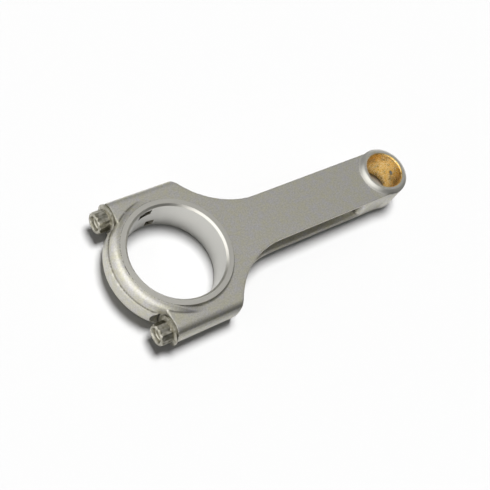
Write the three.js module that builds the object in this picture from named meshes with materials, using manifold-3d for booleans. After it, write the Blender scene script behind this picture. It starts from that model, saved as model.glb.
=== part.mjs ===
// A forged H-beam connecting rod for a small V8 engine, lying on its side.
// +X runs from the crank end to the pin end, +Z along both bores. All sizes are millimetres.
// The crankpin axis is the design's centre; the finished group is then set down with the
// middle of its footprint at the origin.

import * as THREE from 'three';
import { mergeVertices } from 'three/addons/utils/BufferGeometryUtils.js';
import Module from 'manifold-3d';

// ---- Driving dimensions ------------------------------------------------------------------

const CENTRE_DISTANCE = 155.6;       // crankpin axis to wrist pin axis

// Crank end
const CRANK_BORE_D = 56.5;           // housing bore, without bearing shells
const CRANK_BORE_CHAMFER = 1.2;
const BIG_END_WIDTH = 23.9;          // across the two thrust faces
const THRUST_FACE_RIM = 4.0;         // radial width of a thrust face, outside the bore
const THRUST_FACE_FILLET = 1.6;      // where the thrust face drops to the forging
const TANG_SLOT_WIDTH = 5.0;         // bearing tang slots, across the rod
const TANG_SLOT_INSET = 2.3;         // from the thrust face to the near side of a slot
const TANG_SLOT_DEPTH = 2.0;
const TANG_SLOT_RUN_CAP = 10.5;      // from the parting face, along the rod
const TANG_SLOT_RUN_ROD = 5.2;
const PARTING_GAP = 0.02;

// Forging
const FORGING_THICKNESS = 19.2;      // across the flat faces of beam and shoulders
const SHOULDER_EDGE_R = 7.0;         // rounding along the outside of the bolt shoulders
const SHOULDER_CORNER_R = 2.5;       // plan radius where a shoulder turns into the neck
const NECK_R = 50.0;                 // plan radius from shoulder to beam
const NECK_LENGTH = 36.0;            // bore wall to the start of the straight beam
const BEAM_WIDTH = 30.8;
const WEB_THICKNESS = 8.0;           // what the two side channels leave between them
const CHANNEL_HEIGHT = 15.4;         // side channel opening, across the rod
const CHANNEL_RUNOUT_R = 38.0;       // plan radius of the long run-out into the fork
const CHANNEL_END_R = 9.0;           // plan radius of the blunt end, towards the eye
const CHANNEL_FROM_BORE = 45.0;      // bore wall to the centre of the long run-out
const CHANNEL_FROM_PIN = 22.6;       // blunt end to the wrist pin axis

// Pin end
const PIN_BORE_D = 23.55;
const BUSHING_WALL = 0.7;
const BUSHING_FIT = 0.02;            // radial
const BUSHING_RECESS = 0.15;         // each end sits this far inside the eye
const BUSHING_CHAMFER = 0.45;
const EYE_WALL = 3.75;
const EYE_WIDTH = 23.0;              // across the faces of the eye
const EYE_FACE_RIM = 1.6;            // radial width of the eye's face, outside the bushing
const EYE_SKIRT = 4.2;               // radial reach of the hollow fillet around the eye
const EYE_SKIRT_POWER = 1.8;         // how hollow that fillet is; 1 would be a plain cone
const OIL_HOLE_D = 3.0;
const OIL_HOLE_RISE = 1.5;           // above the middle plane

// Cap
const SPOTFACE_DEPTH = 22.1;         // parting face to the screws' seats
const CAP_WALL = 8.6;                // bore wall to the outside of the shoulders
const CAP_SHOULDER_STEP = 0.2;       // thrust face down to the top of the shoulders
const CAP_RIB_WIDTH = 9.2;
const CAP_RIB_RISE = 1.4;            // how far the rib stands out of the shoulders
const SPOTFACE_CLEARANCE = 1.7;      // around a screw's flange

// Cap screws, 12-point heads
const SCREW_THREAD_D = 11.1;
const SCREW_WAIST_D = 9.8;
const SCREW_REACH = 17.5;            // threaded end, beyond the parting face
const SCREW_THREAD_LENGTH = 12.5;
const SCREW_FLANGE_D = 17.4;
const SCREW_FLANGE_HEIGHT = 1.5;
const SCREW_FLANGE_RIM = 0.5;        // straight part of the flange's edge, at the seat
const SCREW_FLANGE_BEVEL = 0.6;      // radial
const SCREW_HEAD_FLATS = 11.2;       // across the flats of the two hexagons
const SCREW_HEAD_HEIGHT = 8.6;       // flange included
const SCREW_DISH_D = 8.4;
const SCREW_DISH_DEPTH = 2.6;
const SCREW_DISH_TAPER = 0.9;        // radial, from the dish's mouth to its floor
const SCREW_CLEARANCE = 0.2;         // radial, in the rod, the sleeves and the cap
const SEAT_GAP = 0.02;

// Dowel sleeves around the screws at the parting faces
const SLEEVE_WALL = 0.45;
const SLEEVE_LENGTH = 10.0;
const SLEEVE_FIT = 0.05;             // radial
const SLEEVE_END_GAP = 0.5;
const BORE_TO_SLEEVE_WALL = 1.2;
const SHOULDER_OUTER_WALL = 1.3;

// Facets per turn
const BORE_SIDES = 72;
const HOLE_SIDES = 36;

// Steps per arc
const FILLET_STEPS = 6;
const CAP_SHOULDER_STEPS = 8;
const OUTLINE_STEPS = 20;
const RUNOUT_STEPS = 48;
const CHANNEL_END_STEPS = 10;
const SKIRT_STEPS = 5;

// ---- Sizes that follow from them ---------------------------------------------------------

const crankBoreR = CRANK_BORE_D / 2;
const thrustFaceR = crankBoreR + THRUST_FACE_RIM;
const bigEndHalf = BIG_END_WIDTH / 2;
const forgingHalf = FORGING_THICKNESS / 2;
const beamHalf = BEAM_WIDTH / 2;
const neckStartX = crankBoreR + NECK_LENGTH;

const screwR = SCREW_THREAD_D / 2;
const screwHoleR = screwR + SCREW_CLEARANCE;
const sleeveOuterR = screwHoleR + SLEEVE_WALL;
const sleeveHoleR = sleeveOuterR + SLEEVE_FIT;
const sleeveHoleDepth = SLEEVE_LENGTH / 2 + SLEEVE_END_GAP;
const screwY = crankBoreR + BORE_TO_SLEEVE_WALL + sleeveHoleR;
const shoulderY = screwY + sleeveHoleR + SHOULDER_OUTER_WALL;
const screwFlangeR = SCREW_FLANGE_D / 2;
const screwEndX = -(SPOTFACE_DEPTH + SEAT_GAP + SCREW_HEAD_HEIGHT);

const bushingBoreR = PIN_BORE_D / 2;
const bushingOuterR = bushingBoreR + BUSHING_WALL;
const eyeBoreR = bushingOuterR + BUSHING_FIT;
const eyeR = bushingOuterR + EYE_WALL;
const eyeHalf = EYE_WIDTH / 2;
const eyeFaceR = bushingOuterR + EYE_FACE_RIM;

const ribHalf = CAP_RIB_WIDTH / 2;
const capR = crankBoreR + CAP_WALL;
const ribR = capR + CAP_RIB_RISE;
const farX = CENTRE_DISTANCE + Math.max(eyeR, beamHalf);
const nearX = -Math.max(ribR, -screwEndX);

// ---- Solids ------------------------------------------------------------------------------

const wasm = await Module();
wasm.setup();

function solid(geometry) {
  const bare = geometry.index ? geometry.toNonIndexed() : geometry.clone();
  bare.deleteAttribute('normal');
  bare.deleteAttribute('uv');
  const merged = mergeVertices(bare, 1e-4);
  const corners = merged.index.array;
  const kept = [];
  for (let i = 0; i < corners.length; i += 3) {
    const [a, b, c] = [corners[i], corners[i + 1], corners[i + 2]];
    if (a !== b && b !== c && c !== a) kept.push(a, b, c);
  }
  const mesh = { numProp: 3, vertProperties: merged.attributes.position.array };
  const result = new wasm.Manifold(new wasm.Mesh({ ...mesh, triVerts: Uint32Array.from(kept) }));
  if (result.volume() > 0) return result;
  const flipped = Uint32Array.from(kept);
  for (let i = 0; i < flipped.length; i += 3) [flipped[i], flipped[i + 1]] = [kept[i + 1], kept[i]];
  return new wasm.Manifold(new wasm.Mesh({ ...mesh, triVerts: flipped }));
}

function toGeometry(manifold) {
  const mesh = manifold.getMesh();
  const geometry = new THREE.BufferGeometry();
  geometry.setAttribute('position', new THREE.BufferAttribute(mesh.vertProperties, 3));
  geometry.setIndex(new THREE.BufferAttribute(mesh.triVerts, 1));
  geometry.computeVertexNormals();
  return geometry;
}

// A profile of [radius, height] points, closed on itself, turned about the Z axis.
function turned(profile, sides) {
  const points = [...profile, profile[0]].map(([r, z]) => new THREE.Vector2(r, z));
  return solid(new THREE.LatheGeometry(points, sides).rotateX(Math.PI / 2));
}

// A plan outline raised evenly about the XY plane.
function plate(shape, thickness, curveSegments = 24) {
  const options = { depth: thickness, bevelEnabled: false, curveSegments };
  return solid(new THREE.ExtrudeGeometry(shape, options).translate(0, 0, -thickness / 2));
}

function box(x0, x1, y0, y1, z0, z1) {
  const geometry = new THREE.BoxGeometry(x1 - x0, y1 - y0, z1 - z0);
  return solid(geometry.translate((x0 + x1) / 2, (y0 + y1) / 2, (z0 + z1) / 2));
}

// A round bar along X. Both of its neighbours in a fit use the same facets.
function barAlongX(radius, x0, x1, y = 0, z = 0) {
  const geometry = new THREE.CylinderGeometry(radius, radius, x1 - x0, HOLE_SIDES);
  return solid(geometry.rotateZ(Math.PI / 2).translate((x0 + x1) / 2, y, z));
}

// A profile of [x, radius] points turned about an axis along X.
function turnedAlongX(profile, y = 0) {
  const points = profile.map(([x, r]) => new THREE.Vector2(r, x));
  const geometry = new THREE.LatheGeometry([...points, points[0]], HOLE_SIDES);
  return solid(geometry.rotateZ(-Math.PI / 2).translate(0, y, 0));
}

function arcPoints(cx, cy, radius, fromDeg, toDeg, steps) {
  return Array.from({ length: steps + 1 }, (_, i) => {
    const angle = THREE.MathUtils.degToRad(fromDeg + ((toDeg - fromDeg) * i) / steps);
    return [cx + radius * Math.cos(angle), cy + radius * Math.sin(angle)];
  });
}

// ---- Shared features ---------------------------------------------------------------------

const FAR = 400;                     // past every face of the part
const PAST = 1;                      // how far a cut or a join runs past a face
const rodSide = () => box(0, FAR, -FAR, FAR, -FAR, FAR);
const capSide = () => box(-FAR, -PARTING_GAP, -FAR, FAR, -FAR, FAR);

function crankBore() {
  const c = CRANK_BORE_CHAMFER;
  const h = bigEndHalf;
  const flare = crankBoreR + 2 * c;
  const profile = [[0, -h - c], [flare, -h - c], [crankBoreR, -h + c]];
  return turned([...profile, [crankBoreR, h - c], [flare, h + c], [0, h + c]], BORE_SIDES);
}

// The thrust faces' ring, with a hollow fillet down to the flat of the forging.
function thrustRing() {
  const f = Math.min(THRUST_FACE_FILLET, bigEndHalf - forgingHalf);
  const fillet = arcPoints(thrustFaceR + f, forgingHalf + f, f, 180, 270, FILLET_STEPS);
  const upper = [[0, bigEndHalf], [thrustFaceR, bigEndHalf], ...fillet];
  const lower = upper.map(([r, z]) => [r, -z]).reverse();
  return turned([...upper, ...lower], BORE_SIDES);
}

// Rounds the outside edges of the shoulders, all along the rod.
function shoulderSection() {
  const r = Math.min(SHOULDER_EDGE_R, forgingHalf);
  const [y, z] = [shoulderY - r, forgingHalf - r];
  const corner = (sideY, sideZ, from) =>
    arcPoints(sideY * y, sideZ * z, r, from, from + 90, FILLET_STEPS);
  const corners = [corner(1, 1, 0), corner(-1, 1, 90), corner(-1, -1, 180), corner(1, -1, 270)];
  const shape = new THREE.Shape(corners.flat().map(([a, b]) => new THREE.Vector2(a, b)));
  const options = { depth: 2 * FAR, bevelEnabled: false };
  const geometry = new THREE.ExtrudeGeometry(shape, options).translate(0, 0, -FAR);
  return solid(geometry.rotateX(Math.PI / 2).rotateZ(Math.PI / 2));
}

function screwHoles(x0, x1) {
  return barAlongX(screwHoleR, x0, x1, screwY).add(barAlongX(screwHoleR, x0, x1, -screwY));
}

function sleeveHoles(x0, x1) {
  return barAlongX(sleeveHoleR, x0, x1, screwY).add(barAlongX(sleeveHoleR, x0, x1, -screwY));
}

// The slot for a bearing tang, milled into the bore on the +Y side of the parting face.
function tangSlot(x0, x1, side) {
  const near = side * (bigEndHalf - TANG_SLOT_INSET);
  const far = near - side * TANG_SLOT_WIDTH;
  const [low, high] = [Math.min(near, far), Math.max(near, far)];
  return box(x0, x1, crankBoreR / 2, crankBoreR + TANG_SLOT_DEPTH, low, high);
}

// ---- Rod: beam, fork and eye in one forging ----------------------------------------------

function forgingOutline() {
  const neckY = beamHalf + NECK_R;
  const corner = SHOULDER_CORNER_R;
  const cornerY = shoulderY - corner;
  const cornerX = neckStartX - Math.sqrt((NECK_R + corner) ** 2 - (neckY - cornerY) ** 2);
  const cornerTurn = Math.atan2(neckY - cornerY, neckStartX - cornerX) * THREE.MathUtils.RAD2DEG;
  const half = [
    ...arcPoints(CENTRE_DISTANCE, 0, beamHalf, 0, 90, OUTLINE_STEPS),
    ...arcPoints(neckStartX, neckY, NECK_R, 270, 180 + cornerTurn, OUTLINE_STEPS),
    ...arcPoints(cornerX, cornerY, corner, cornerTurn, 90, FILLET_STEPS),
    [-PARTING_GAP, shoulderY],
  ];
  const mirrored = half.slice(1).map(([x, y]) => [x, -y]).reverse();
  return new THREE.Shape([...half, ...mirrored].map(([x, y]) => new THREE.Vector2(x, y)));
}

// One milled side channel: a long round run-out into the fork and a blunt end at the eye.
function sideChannel(side) {
  const floor = WEB_THICKNESS / 2;
  const [runoutR, endR] = [CHANNEL_RUNOUT_R, CHANNEL_END_R];
  const startX = crankBoreR + CHANNEL_FROM_BORE;
  const endX = CENTRE_DISTANCE - CHANNEL_FROM_PIN;
  const open = floor + 2 * runoutR;
  const outline = [
    ...arcPoints(startX, floor + runoutR, runoutR, 90, 270, RUNOUT_STEPS),
    ...arcPoints(endX - endR, floor + endR, endR, -90, 0, CHANNEL_END_STEPS),
    [endX, open],
  ];
  const shape = new THREE.Shape(outline.map(([x, y]) => new THREE.Vector2(x, side * y)));
  return plate(shape, CHANNEL_HEIGHT);
}

// The eye's faces stand out of the beam on a hollow fillet.
function eye() {
  const rise = eyeHalf - forgingHalf;
  const skirt = Array.from({ length: SKIRT_STEPS + 1 }, (_, i) => {
    const t = i / SKIRT_STEPS;
    return [eyeFaceR + EYE_SKIRT * t, forgingHalf + rise * (1 - t) ** EYE_SKIRT_POWER];
  });
  const upper = [[0, eyeHalf], ...skirt];
  const lower = upper.map(([r, z]) => [r, -z]).reverse();
  const boss = turned([...upper, ...lower], BORE_SIDES).translate([CENTRE_DISTANCE, 0, 0]);
  const body = turned([[0, -eyeHalf], [eyeR, -eyeHalf], [eyeR, eyeHalf], [0, eyeHalf]], BORE_SIDES);
  const limits = body.translate([CENTRE_DISTANCE, 0, 0]).add(plate(forgingOutline(), EYE_WIDTH));
  const core = body.translate([CENTRE_DISTANCE, 0, 0]).intersect(slab(forgingHalf));
  return boss.intersect(limits).add(core);
}

function slab(half) {
  return box(-FAR, FAR, -FAR, FAR, -half, half);
}

function oilHole() {
  return barAlongX(OIL_HOLE_D / 2, CENTRE_DISTANCE, CENTRE_DISTANCE + FAR, 0, OIL_HOLE_RISE);
}

function rod() {
  const bore = [[0, -FAR], [eyeBoreR, -FAR], [eyeBoreR, FAR], [0, FAR]];
  const pinHousing = turned(bore, BORE_SIDES).translate([CENTRE_DISTANCE, 0, 0]);
  return plate(forgingOutline(), FORGING_THICKNESS)
    .intersect(shoulderSection())
    .add(thrustRing())
    .add(eye())
    .intersect(rodSide())
    .subtract(crankBore())
    .subtract(pinHousing)
    .subtract(sideChannel(1))
    .subtract(sideChannel(-1))
    .subtract(screwHoles(-PAST, neckStartX))
    .subtract(sleeveHoles(-PAST, sleeveHoleDepth))
    .subtract(tangSlot(-PAST, TANG_SLOT_RUN_ROD, -1))
    .subtract(oilHole());
}

// ---- Bearing cap -------------------------------------------------------------------------

// Radial section of the cap: thrust face, shoulder rounded over to the wall, central rib.
function capRound() {
  const across = capR - thrustFaceR;
  const down = bigEndHalf - CAP_SHOULDER_STEP - ribHalf;
  const r = (across ** 2 + down ** 2) / (2 * across);
  const startDeg = Math.atan2(down, r - across) * THREE.MathUtils.RAD2DEG;
  const shoulder = arcPoints(capR - r, ribHalf, r, startDeg, 0, CAP_SHOULDER_STEPS);
  const upper = [[0, bigEndHalf], [thrustFaceR, bigEndHalf], ...shoulder, [ribR, ribHalf]];
  const lower = upper.map(([x, z]) => [x, -z]).reverse();
  return turned([...upper, ...lower], BORE_SIDES);
}

function spotfaces() {
  const r = screwFlangeR + SPOTFACE_CLEARANCE;
  return barAlongX(r, -FAR, -SPOTFACE_DEPTH, screwY)
    .add(barAlongX(r, -FAR, -SPOTFACE_DEPTH, -screwY));
}

function bearingCap() {
  const pads = box(-SPOTFACE_DEPTH, 0, -shoulderY, shoulderY, -forgingHalf, forgingHalf);
  return pads
    .intersect(shoulderSection())
    .add(capRound())
    .intersect(capSide())
    .subtract(crankBore())
    .subtract(spotfaces())
    .subtract(screwHoles(-FAR, PAST))
    .subtract(sleeveHoles(-sleeveHoleDepth, PAST))
    .subtract(tangSlot(-TANG_SLOT_RUN_CAP, PAST, 1));
}

// ---- Bushing, screws and sleeves ---------------------------------------------------------

function pinBushing() {
  const h = eyeHalf - BUSHING_RECESS;
  const [r0, r1, c] = [bushingBoreR, bushingOuterR, BUSHING_CHAMFER];
  const profile = [[r0, -h + c], [r0 + c, -h], [r1, -h], [r1, h], [r0 + c, h], [r0, h - c]];
  return turned(profile, BORE_SIDES).translate([CENTRE_DISTANCE, 0, 0]).subtract(oilHole());
}

// The 12-point head is the outline of two hexagons, one turned by 30 degrees.
function twelvePoint(x0, x1, y) {
  const outer = SCREW_HEAD_FLATS / 2 / Math.cos(Math.PI / 6);
  const inner = SCREW_HEAD_FLATS / 2 / Math.cos(Math.PI / 12);
  const points = Array.from({ length: 24 }, (_, i) => {
    const r = i % 2 ? inner : outer;
    return new THREE.Vector2(r * Math.cos((i * Math.PI) / 12), r * Math.sin((i * Math.PI) / 12));
  });
  const options = { depth: x1 - x0, bevelEnabled: false };
  const geometry = new THREE.ExtrudeGeometry(new THREE.Shape(points), options);
  return solid(geometry.rotateY(Math.PI / 2).translate(x0, y, 0));
}

function capScrew(side) {
  const y = side * screwY;
  const seat = -(SPOTFACE_DEPTH + SEAT_GAP);
  const flangeTop = seat - SCREW_FLANGE_HEIGHT;
  const threadStart = SCREW_REACH - SCREW_THREAD_LENGTH;
  const step = (SCREW_THREAD_D - SCREW_WAIST_D) / 2;
  const waistR = SCREW_WAIST_D / 2;
  const shank = turnedAlongX([
    [flangeTop - PAST, 0], [flangeTop - PAST, waistR],
    [flangeTop, screwFlangeR - SCREW_FLANGE_BEVEL],
    [seat - SCREW_FLANGE_RIM, screwFlangeR], [seat, screwFlangeR], [seat, waistR],
    [threadStart - step, waistR], [threadStart, screwR], [SCREW_REACH - step, screwR],
    [SCREW_REACH, waistR], [SCREW_REACH, 0],
  ], y);
  const dishR = SCREW_DISH_D / 2;
  const dishFloor = screwEndX + SCREW_DISH_DEPTH;
  const dish = turnedAlongX([
    [screwEndX - PAST, 0], [screwEndX - PAST, dishR], [screwEndX, dishR],
    [dishFloor, dishR - SCREW_DISH_TAPER], [dishFloor, 0],
  ], y);
  return twelvePoint(screwEndX, flangeTop, y).add(shank).subtract(dish);
}

function dowelSleeve(side) {
  const half = SLEEVE_LENGTH / 2;
  const profile = [[-half, screwHoleR], [-half, sleeveOuterR], [half, sleeveOuterR], [half, screwHoleR]];
  return turnedAlongX(profile, side * screwY);
}

// ---- The assembly ------------------------------------------------------------------------

const finishes = {
  forged: { color: 0x98958c, roughness: 0.62, metalness: 0.85 },
  bronze: { color: 0xc79a3e, roughness: 0.38, metalness: 0.95 },
  screwSteel: { color: 0x7d7b70, roughness: 0.45, metalness: 0.9 },
  sleeveSteel: { color: 0xb4b6b8, roughness: 0.35, metalness: 0.95 },
};

const pieces = [
  ['rod_forging', rod(), finishes.forged],
  ['bearing_cap', bearingCap(), finishes.forged],
  ['pin_bushing', pinBushing(), finishes.bronze],
  ['cap_screw_left', capScrew(1), finishes.screwSteel],
  ['cap_screw_right', capScrew(-1), finishes.screwSteel],
  ['dowel_sleeve_left', dowelSleeve(1), finishes.sleeveSteel],
  ['dowel_sleeve_right', dowelSleeve(-1), finishes.sleeveSteel],
];

const connectingRod = new THREE.Group();
for (const [name, manifold, finish] of pieces) {
  const mesh = new THREE.Mesh(toGeometry(manifold), new THREE.MeshStandardMaterial(finish));
  mesh.name = name;
  connectingRod.add(mesh);
}
connectingRod.position.set(-(nearX + farX) / 2, 0, bigEndHalf);

export default connectingRod;
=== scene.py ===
from collections import namedtuple
from math import atan2, cos, degrees, pi, radians, sin, sqrt, tan

import bpy
from bpy.props import FloatProperty, FloatVectorProperty, PointerProperty
from mathutils import Matrix, Vector


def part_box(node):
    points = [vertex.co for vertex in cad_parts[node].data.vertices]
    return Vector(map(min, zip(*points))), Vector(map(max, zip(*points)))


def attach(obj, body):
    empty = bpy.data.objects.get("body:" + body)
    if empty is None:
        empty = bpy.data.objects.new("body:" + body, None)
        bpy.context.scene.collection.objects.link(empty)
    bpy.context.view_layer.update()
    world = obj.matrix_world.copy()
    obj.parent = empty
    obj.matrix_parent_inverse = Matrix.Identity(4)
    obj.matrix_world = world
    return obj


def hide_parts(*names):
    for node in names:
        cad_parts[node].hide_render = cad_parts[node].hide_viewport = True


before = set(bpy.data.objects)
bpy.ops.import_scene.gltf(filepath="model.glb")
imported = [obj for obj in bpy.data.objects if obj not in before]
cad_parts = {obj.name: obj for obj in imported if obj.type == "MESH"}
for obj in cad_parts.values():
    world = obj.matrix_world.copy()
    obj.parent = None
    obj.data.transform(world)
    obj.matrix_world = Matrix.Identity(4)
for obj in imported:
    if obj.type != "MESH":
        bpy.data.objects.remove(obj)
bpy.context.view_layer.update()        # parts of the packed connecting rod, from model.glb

bl_info = {
    "name": "Forged connecting rod",
    "version": (1, 0, 0),
    "blender": (4, 5, 0),
    "location": "3D View > Sidebar > Connecting Rod",
    "description": "Models a forged H-beam connecting rod around its packed frame",
    "category": "Add Mesh",
}

# ---- Places taken from the frame. Lengths are metres, and x is counted from the crankpin axis. ----

MM = 0.001
ROD_LOW, ROD_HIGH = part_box("rod_forging")
CAP_LOW, CAP_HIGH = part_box("bearing_cap")
BUSH_LOW, BUSH_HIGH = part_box("pin_bushing")
SCREW_LOW, SCREW_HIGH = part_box("cap_screw_left")
SLEEVE_LOW, SLEEVE_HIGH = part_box("dowel_sleeve_left")

CRANK_X = ROD_LOW.x                                  # the fork's parting face is on the crankpin axis
MID_Z = (ROD_LOW.z + ROD_HIGH.z) / 2
BIG_HALF = (ROD_HIGH.z - ROD_LOW.z) / 2              # crank end, half its width
SHOULDER_Y = ROD_HIGH.y
PIN_X = (BUSH_LOW.x + BUSH_HIGH.x) / 2 - CRANK_X
BUSH_R = (BUSH_HIGH.y - BUSH_LOW.y) / 2
BUSH_HALF = (BUSH_HIGH.z - BUSH_LOW.z) / 2
EYE_R = ROD_HIGH.x - CRANK_X - PIN_X
RIB_R = CRANK_X - CAP_LOW.x
PARTING_X = CAP_HIGH.x - CRANK_X
SCREW_Y = (SCREW_LOW.y + SCREW_HIGH.y) / 2
FLANGE_R = (SCREW_HIGH.y - SCREW_LOW.y) / 2
HEAD_X = SCREW_LOW.x - CRANK_X
TIP_X = SCREW_HIGH.x - CRANK_X
SLEEVE_R = (SLEEVE_HIGH.y - SLEEVE_LOW.y) / 2
SLEEVE_HALF = (SLEEVE_HIGH.x - SLEEVE_LOW.x) / 2

MERGE = 0.002 * MM            # points closer than this are one point
PAST = 3 * MM                 # how far a cutter runs past what it cuts
SPIN_STEPS = 144              # facets of a large turned surface
SMALL_STEPS = 64              # facets of a small one
OIL_HOLE_STEPS = 32           # facets of the oil hole
FILLET_STEPS = 6              # steps of a small fillet or corner
BULGE_STEPS = 8               # steps of a shallow arc
EDGE_STEPS = 10               # steps of a rounded edge or a cove
SMOOTH_ANGLE = radians(32)    # sharper edges than this stay crisp


def length(name, description, default_mm):
    """A length property, given in millimetres."""
    return FloatProperty(name=name, description=description, default=default_mm * MM,
                         min=0.0, unit="LENGTH", precision=5)


def linear(hex_colour):
    """An sRGB hex colour as linear RGBA."""
    channels = [int(hex_colour[i:i + 2], 16) / 255 for i in (1, 3, 5)]
    curve = [c / 12.92 if c <= 0.04045 else ((c + 0.055) / 1.055) ** 2.4 for c in channels]
    return (*curve, 1.0)


def hue(name, description, hex_colour):
    """A colour property, given as an sRGB hex value."""
    return FloatVectorProperty(name=name, description=description, default=linear(hex_colour),
                               size=4, min=0.0, max=1.0, subtype="COLOR")


class RodForgingSizes(bpy.types.PropertyGroup):
    """Sizes of the forged beam, its fork and its eye."""

    crank_bore: length("Crank bore", "Diameter of the big end's housing bore", 56.5)
    bore_chamfer: length("Bore chamfer", "Chamfer at both ends of the housing bore", 1.2)
    thrust_rim: length("Thrust rim", "Radial width of the thrust faces", 4.0)
    thrust_cove: length("Thrust cove", "Hollow fillet from thrust face to forging", 1.6)
    thickness: length("Thickness", "Across the flat faces of the forging", 19.2)
    shoulder_round: length("Shoulder rounding", "Radius along the edges of the bolt shoulders", 4.0)
    shoulder_draft: FloatProperty(name="Shoulder draft", default=radians(20), subtype="ANGLE",
                                  description="Slope of the shoulders' bulged sides at their edges")
    corner_round: length("Shoulder corner", "Plan radius from shoulder to neck", 2.5)
    neck_radius: length("Neck radius", "Plan radius from shoulder to beam", 50.0)
    neck_length: length("Neck length", "Bore wall to the start of the straight beam", 36.0)
    beam_width: length("Beam width", "Width of the straight beam", 30.8)
    web: length("Web", "Thickness left between the two side channels", 8.0)
    channel_height: length("Channel height", "Opening of a side channel", 15.4)
    channel_runout: length("Channel run-out", "Plan radius where a channel runs into the fork", 38.0)
    channel_end: length("Channel end", "Plan radius of a channel's blunt end", 8.2)
    channel_from_bore: length("Channel from bore", "Bore wall to the centre of the run-out", 45.0)
    channel_from_pin: length("Channel from pin", "Blunt end to the wrist pin axis", 22.6)
    eye_width: length("Eye width", "Across the faces of the pin eye", 23.0)
    eye_rim: length("Eye rim", "Radial width of the eye's faces", 1.6)
    eye_cone: FloatProperty(name="Eye cone", default=radians(36), subtype="ANGLE",
                            description="Slope of the cone from the eye's face to the beam")
    eye_fillet: length("Eye fillet", "Radius at the foot of the eye's cone", 3.0)
    oil_hole: length("Oil hole", "Diameter of the hole into the pin bore", 3.0)
    oil_rise: length("Oil hole rise", "Height of the oil hole above the middle plane", 1.5)
    tang_width: length("Tang slot width", "Width of the slots for the bearing tangs", 5.0)
    tang_inset: length("Tang slot inset", "Thrust face to the near side of a tang slot", 2.3)
    tang_depth: length("Tang slot depth", "Depth of a tang slot below the bore", 2.0)
    tang_cutter: length("Tang cutter", "Radius of the cutter that makes a tang slot", 6.5)


class CapSizes(bpy.types.PropertyGroup):
    """Sizes of the bearing cap."""

    seat: length("Seat depth", "Parting face to the screw seats", 22.1)
    seat_clearance: length("Seat clearance", "Spotface radius beyond a screw's flange", 1.7)
    seat_fillet: length("Seat fillet", "Radius round the foot of a spotface", 0.9)
    wall: length("Wall", "Bore wall to the outside of the cap's shoulders", 8.6)
    step: length("Step", "Thrust face down to the top of the shoulders", 0.2)
    rib_width: length("Rib width", "Width of the rib round the cap", 9.2)


class ScrewSizes(bpy.types.PropertyGroup):
    """Sizes of the 12-point cap screws."""

    thread: length("Thread", "Thread diameter", 11.1)
    pitch: length("Pitch", "Thread pitch, 20 turns to the inch", 1.27)
    waist: length("Waist", "Diameter of the plain shank", 9.8)
    threaded: length("Threaded length", "Length of the thread", 12.5)
    flange: length("Flange", "Height of the flange", 1.5)
    flats: length("Across flats", "Across the flats of the head", 11.2)
    dish: length("Dish", "Diameter of the hollow in the head", 8.4)
    dish_depth: length("Dish depth", "Depth of the hollow in the head", 2.6)
    hole_clearance: length("Hole clearance", "Radial room round the thread", 0.2)


class FinishColours(bpy.types.PropertyGroup):
    """sRGB colours of the finishes."""

    forging_pit: hue("Forging, pits", "Bottoms of the peened dimples", "#ABA99C")
    forging_warm: hue("Forging, warm", "Olive cast of the oiled steel", "#CFCCB8")
    forging_cool: hue("Forging, cool", "Violet cast of the oiled steel", "#CDCBCC")
    # painted shade: a dark colour laid into the inner corners, where shade falls
    forging_crease_shade: hue("Forging, creases", "Dirt held in the inner corners", "#5A564C")
    ground: hue("Ground", "Ground thrust faces", "#D0CEC6")
    bored: hue("Bored", "Bored steel", "#CBCAC5")
    bronze: hue("Bronze", "Honed bronze", "#E8B94C")
    bronze_dark: hue("Bronze, dark", "Oil-stained bronze", "#8F6A24")
    bronze_pale: hue("Bronze, pale", "Freshly honed bronze", "#FBE9BC")
    # painted shade: the tang slots get a darker colour, with darker patches, standing in for the shade
    # inside them
    slot: hue("Slot", "Milled tang slots", "#A8A49A")
    slot_painted_shade: hue("Slot, oil film", "Dried oil in the tang slots", "#6A665A")
    screw: hue("Screw", "Alloy steel", "#B5B2A6")
    screw_film: hue("Screw, oil film", "Oil film on the screws", "#8D8A7C")
    sleeve: hue("Sleeve", "Ground steel", "#B4B6B8")
    sleeve_film: hue("Sleeve, oil film", "Oil film on the sleeves", "#8C8E90")
    floor: hue("Floor", "Pale studio floor", "#B2B2B2")
    # painted shade: the floor's colour in reflections only, away from the rod, which darkens the metal's
    # sides that reflect it
    floor_reflected_shade: hue("Floor, far", "The floor as metal sees it away from the rod", "#3C3C3C")


# ---- Drawing and shaping ---------------------------------------------------------------------

Arc = namedtuple("Arc", "centre degrees steps")
Sheet = namedtuple("Sheet", "place normal")      # where a drawn point (u, v) lies, and which way up


def at(x, y, z=0.0):
    """A point counted from the middle of the crank bore."""
    return Vector((CRANK_X + x, y, MID_Z + z))


def plan(z=0.0):
    """A sheet seen from above, u along the rod and v across it."""
    return Sheet(lambda u, v: at(u, v, z), Vector((0, 0, 1)))


def across_rod(x):
    """A sheet square to the rod, u across it and v up."""
    return Sheet(lambda u, v: at(x, u, v), Vector((1, 0, 0)))


def bore_section(x):
    """Half a section of a bore that stands at x: u is the radius and v is up."""
    return Sheet(lambda u, v: at(x + u, 0, v), Vector((0, -1, 0)))


def screw_section(y):
    """Half a section of a screw that lies at y: u is along it and v is the radius."""
    return Sheet(lambda u, v: at(u, y + v), Vector((0, 0, 1)))


def deselect():
    """Leaves nothing selected, so that the next operator acts on its own piece only."""
    if bpy.context.object and bpy.context.object.mode != "OBJECT":
        bpy.ops.object.mode_set(mode="OBJECT")
    bpy.ops.object.select_all(action="DESELECT")


def pick(piece):
    """Selects one piece and nothing else."""
    deselect()
    piece.select_set(True)
    bpy.context.view_layer.objects.active = piece


def edit(piece):
    """Opens one piece in edit mode with all of it selected."""
    pick(piece)
    bpy.ops.object.mode_set(mode="EDIT")
    bpy.ops.mesh.select_all(action="SELECT")


def close_edit():
    bpy.ops.object.mode_set(mode="OBJECT")


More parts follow.
